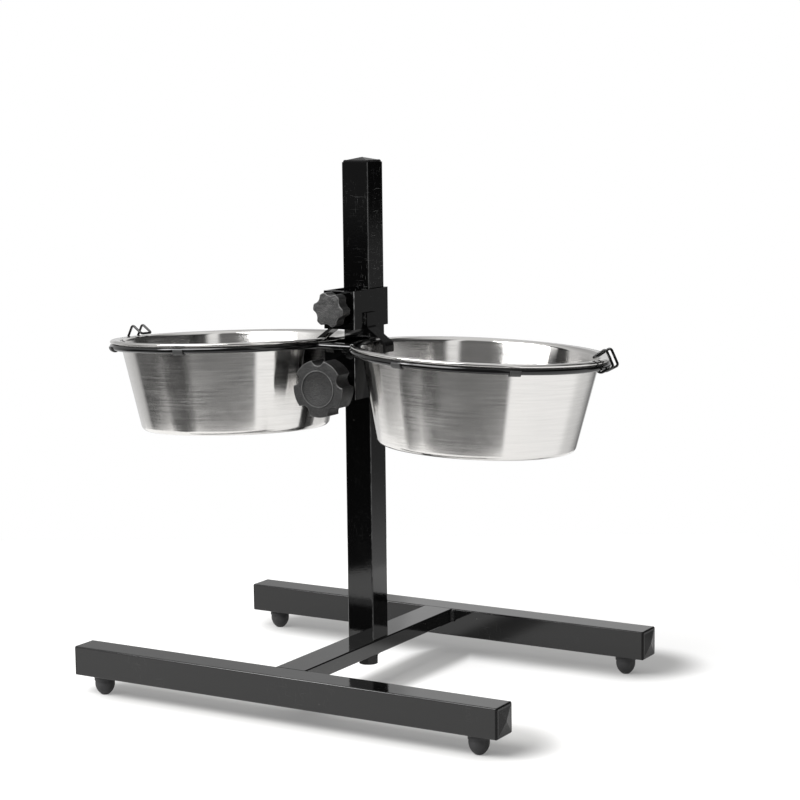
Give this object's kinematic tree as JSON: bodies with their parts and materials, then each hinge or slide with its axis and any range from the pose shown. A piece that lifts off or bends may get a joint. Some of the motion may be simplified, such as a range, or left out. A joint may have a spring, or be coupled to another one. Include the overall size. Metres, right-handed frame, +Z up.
{
  "type": "elevated pet feeder",
  "caption": "Elevated pet feeder: steel bowls in wire rings on a carrier that clamps at any height to a square post, which stands on an H-shaped tube base with rubber feet.",
  "frame": {"origin": "on the floor, at the middle of the base and on the post's axis", "axes": "+X along the foot bars to the right, +Y to the rear, +Z up along the post"},
  "size_m": [0.5652, 0.353, 0.542],
  "materials": {
    "powder_coat": "gloss black powder coat on steel tube",
    "weld": "black-coated weld bead",
    "cap_plastic": "satin black moulded plastic",
    "foot_rubber": "dark moulded rubber",
    "black_bolt": "black-oxide steel fastener",
    "zinc": "zinc-plated steel",
    "wire": "gloss black coated steel wire",
    "clip_plastic": "dark grey moulded plastic",
    "knob_plastic": "fine sand-textured dark grey plastic",
    "pad_plastic": "black nylon",
    "stainless": "brushed stainless steel with a polished rim"
  },
  "bodies": {
    "base": {"front_foot_bar": "powder_coat", "rear_foot_bar": "powder_coat", "crossbar": "powder_coat", "base_welds": "weld", "front_left_cap": "cap_plastic", "front_right_cap": "cap_plastic", "rear_left_cap": "cap_plastic", "rear_right_cap": "cap_plastic", "front_left_foot": "foot_rubber", "front_right_foot": "foot_rubber", "rear_left_foot": "foot_rubber", "rear_right_foot": "foot_rubber", "post": "powder_coat", "post_cap": "cap_plastic", "post_insert": "zinc", "post_bolt": "black_bolt", "post_washer": "black_bolt", "post_lock_washer": "black_bolt"},
    "carrier": {"carrier_sleeve": "powder_coat", "left_ring": "wire", "right_ring": "wire", "front_rod": "wire", "carrier_welds": "weld", "left_ring_clips": "clip_plastic", "right_ring_clips": "clip_plastic", "carrier_nut": "zinc"},
    "large_clamp_pad": {"large_knob_pad": "pad_plastic"},
    "large_clamp_screw": {"large_knob": "knob_plastic", "large_knob_stud": "zinc"},
    "holddown": {"holddown_collar": "powder_coat", "left_strap": "powder_coat", "right_strap": "powder_coat", "holddown_welds": "weld", "holddown_nut": "zinc"},
    "small_clamp_pad": {"small_knob_pad": "pad_plastic"},
    "small_clamp_screw": {"small_knob": "knob_plastic", "small_knob_stud": "zinc"},
    "left_bail": {"left_bail": "wire"},
    "right_bail": {"right_bail": "wire"},
    "left_bowl": {"left_bowl": "stainless"},
    "right_bowl": {"right_bowl": "stainless"}
  },
  "joints": [
    {"name": "carrier_height", "type": "slide", "parent": "base", "child": "carrier", "axis": [0, 0, 1], "range_m": [-0.235, 0.07]},
    {"name": "holddown_lift", "type": "slide", "parent": "carrier", "child": "holddown", "axis": [0, 0, 1], "range_m": [0, 0.05]},
    {"name": "large_pad_slide", "type": "slide", "parent": "carrier", "child": "large_clamp_pad", "axis": [0, -1, 0], "range_m": [0, 0.003]},
    {"name": "large_knob_turn", "type": "hinge", "parent": "large_clamp_pad", "child": "large_clamp_screw", "pos_m": [0, -0.06, 0.318], "axis": [0, -1, 0], "range_deg": [0, 720]},
    {"name": "small_pad_slide", "type": "slide", "parent": "holddown", "child": "small_clamp_pad", "axis": [0, -1, 0], "range_m": [0, 0.0025]},
    {"name": "small_knob_turn", "type": "hinge", "parent": "small_clamp_pad", "child": "small_clamp_screw", "pos_m": [0, -0.06, 0.394], "axis": [0, -1, 0], "range_deg": [0, 720]},
    {"name": "left_bail_swing", "type": "hinge", "parent": "carrier", "child": "left_bail", "pos_m": [-0.26951, -0.01733, 0.34527], "axis": [-0.0451, -0.9984, 0.0348], "range_deg": [0, 80]},
    {"name": "right_bail_swing", "type": "hinge", "parent": "carrier", "child": "right_bail", "pos_m": [0.26825, -0.00439, 0.34485], "axis": [-0.1491, 0.9884, -0.0303], "range_deg": [0, 80]},
    {"name": "left_bowl_spin", "type": "hinge", "parent": "carrier", "child": "left_bowl", "pos_m": [-0.1458, -0.0225, 0.357], "axis": [-0.0401, 0.0366, 0.9985], "continuous": true},
    {"name": "right_bowl_spin", "type": "hinge", "parent": "carrier", "child": "right_bowl", "pos_m": [0.1458, -0.0225, 0.357], "axis": [0.0401, 0.0366, 0.9985], "continuous": true}
  ],
  "couplings": [
    {"joint": "large_knob_turn", "follows": "large_pad_slide", "rad_per_m": 4188.8},
    {"joint": "small_knob_turn", "follows": "small_pad_slide", "rad_per_m": 5026.5}
  ]
}
